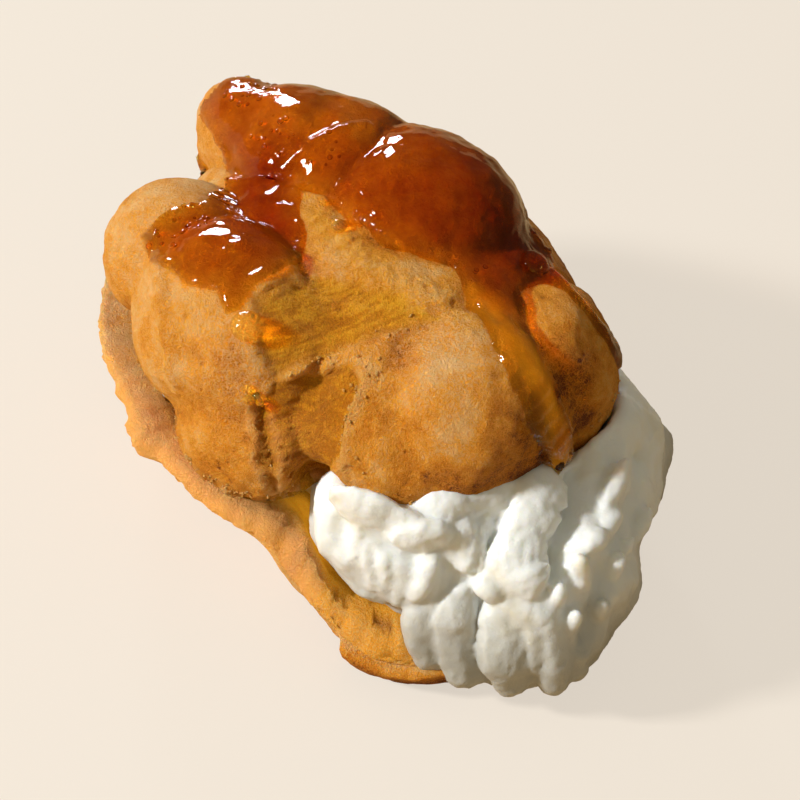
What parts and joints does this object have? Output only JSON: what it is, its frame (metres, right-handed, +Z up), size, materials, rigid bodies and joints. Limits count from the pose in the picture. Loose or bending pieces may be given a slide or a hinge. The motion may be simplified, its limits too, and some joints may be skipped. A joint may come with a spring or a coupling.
{
  "type": "cream puff",
  "caption": "Oval choux bun cut through and filled with piped whipped cream, its lobed lid propped open and glazed with amber caramel",
  "frame": {"origin": "on the table, under the middle of the whole puff's bounding box", "axes": "+Z up, -Y the front that the gap between lid and base faces, +X the side where the cream spills out and the lid gapes most"},
  "size_m": [0.0886, 0.0735, 0.056],
  "materials": {
    "choux_base": "baked choux crust, golden tan",
    "choux_lid": "baked choux crust, golden tan, glazed with amber caramel on top",
    "whipped_cream": "whipped cream, soft satin white"
  },
  "bodies": {
    "root": {"choux_base": "choux_base", "choux_lid": "choux_lid", "whipped_cream": "whipped_cream"}
  },
  "joints": []
}
